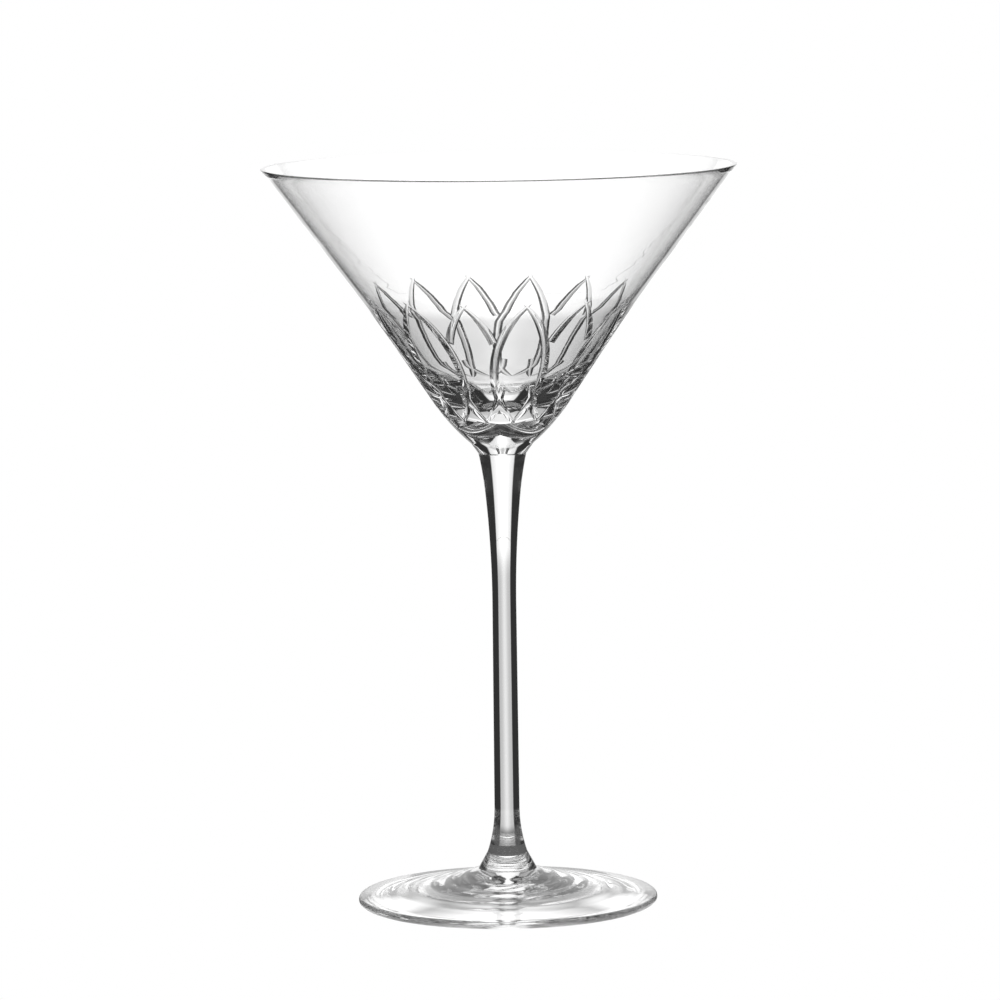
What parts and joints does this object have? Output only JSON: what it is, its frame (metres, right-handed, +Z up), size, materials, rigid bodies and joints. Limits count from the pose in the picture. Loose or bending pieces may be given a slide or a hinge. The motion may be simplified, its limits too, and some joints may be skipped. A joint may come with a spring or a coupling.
{
  "type": "martini glass",
  "caption": "Stemmed cocktail glass in clear cut crystal: a wide conical bowl with a ring of cut petals low on its wall, a slender stem and a shallow round foot.",
  "frame": {"origin": "centre of the resting ring under the foot, on the plane the glass stands on", "axes": "+Z up along the axis of the glass, from the foot to the rim; the glass is round, so +X and +Y only place the petals: the picture was taken from the -Y side"},
  "size_m": [0.118, 0.118, 0.185],
  "materials": {
    "crystal": "fire-polished clear crystal with polished mitre cuts"
  },
  "bodies": {
    "root": {"bowl": "crystal", "stem": "crystal", "foot": "crystal"}
  },
  "joints": []
}
